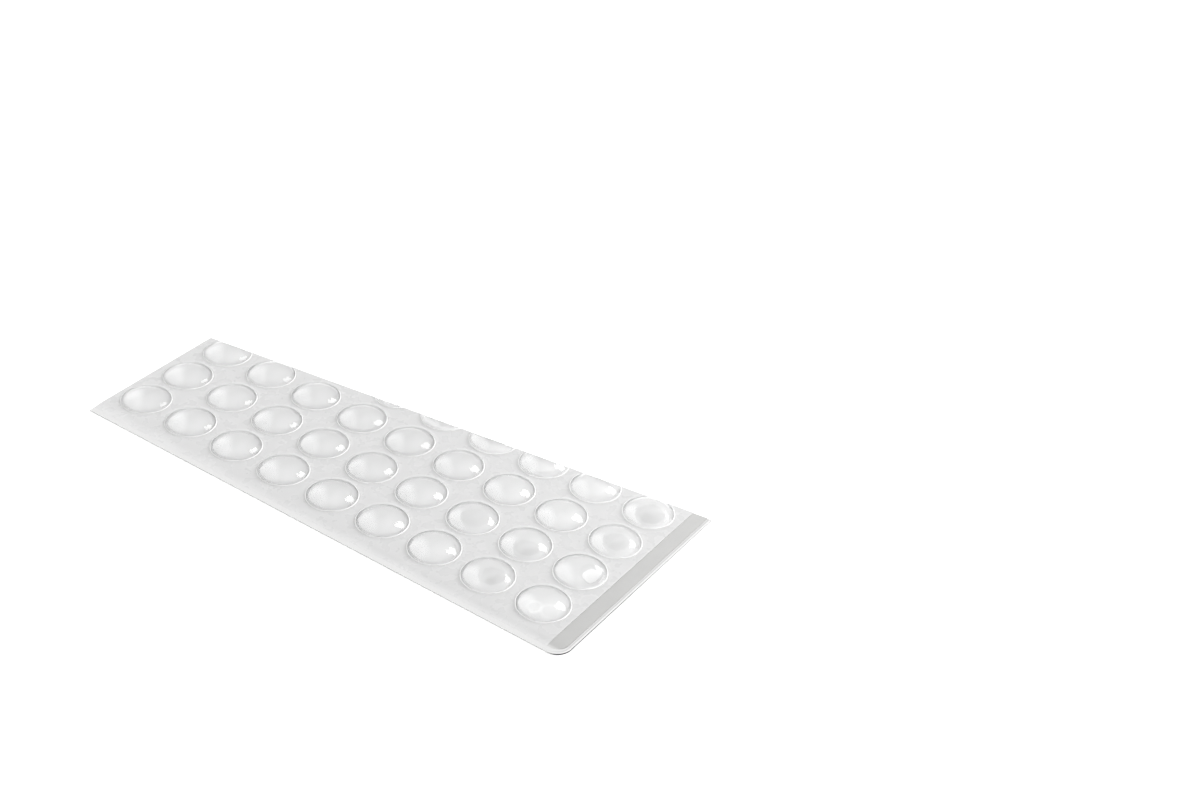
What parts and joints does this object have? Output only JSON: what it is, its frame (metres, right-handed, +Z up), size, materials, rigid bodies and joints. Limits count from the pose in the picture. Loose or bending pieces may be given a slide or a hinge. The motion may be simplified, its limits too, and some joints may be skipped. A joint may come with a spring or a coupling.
{
  "type": "sheet of clear self-adhesive cabinet door bumpers",
  "caption": "Cut piece of a flat release liner with rows of low clear domes, each kiss-cut free of the thin film around it, to peel off and stick inside a cabinet door.",
  "frame": {"origin": "middle of the sheet's bounding rectangle, on the underside of the release liner", "axes": "+X along the rows of bumpers, towards the end with the bare adhesive strip; +Y across the rows, from the long front edge towards the slanting cut; +Z up, out of the domes"},
  "size_m": [0.113, 0.0488, 0.0022],
  "materials": {
    "liner": "satin translucent white",
    "adhesive": "clear tacky adhesive, warm grey over the liner",
    "film": "clear satin film",
    "clear_bumper": "clear glossy soft polyurethane"
  },
  "bodies": {
    "root": {"release_liner": "liner", "adhesive_layer": "adhesive", "surrounding_film": "film", "bumper_row1_col1": "clear_bumper", "bumper_row1_col2": "clear_bumper", "bumper_row1_col3": "clear_bumper", "bumper_row1_col4": "clear_bumper", "bumper_row1_col5": "clear_bumper", "bumper_row1_col6": "clear_bumper", "bumper_row1_col7": "clear_bumper", "bumper_row1_col8": "clear_bumper", "bumper_row1_col9": "clear_bumper", "bumper_row2_col1": "clear_bumper", "bumper_row2_col2": "clear_bumper", "bumper_row2_col3": "clear_bumper", "bumper_row2_col4": "clear_bumper", "bumper_row2_col5": "clear_bumper", "bumper_row2_col6": "clear_bumper", "bumper_row2_col7": "clear_bumper", "bumper_row2_col8": "clear_bumper", "bumper_row2_col9": "clear_bumper", "bumper_row3_col1": "clear_bumper", "bumper_row3_col2": "clear_bumper", "bumper_row3_col3": "clear_bumper", "bumper_row3_col4": "clear_bumper", "bumper_row3_col5": "clear_bumper", "bumper_row3_col6": "clear_bumper", "bumper_row3_col7": "clear_bumper", "bumper_row3_col8": "clear_bumper", "bumper_row3_col9": "clear_bumper", "bumper_row4_col4": "clear_bumper", "bumper_row4_col5": "clear_bumper", "bumper_row4_col6": "clear_bumper", "bumper_row4_col7": "clear_bumper", "bumper_row4_col8": "clear_bumper", "bumper_row4_col9": "clear_bumper"}
  },
  "joints": []
}
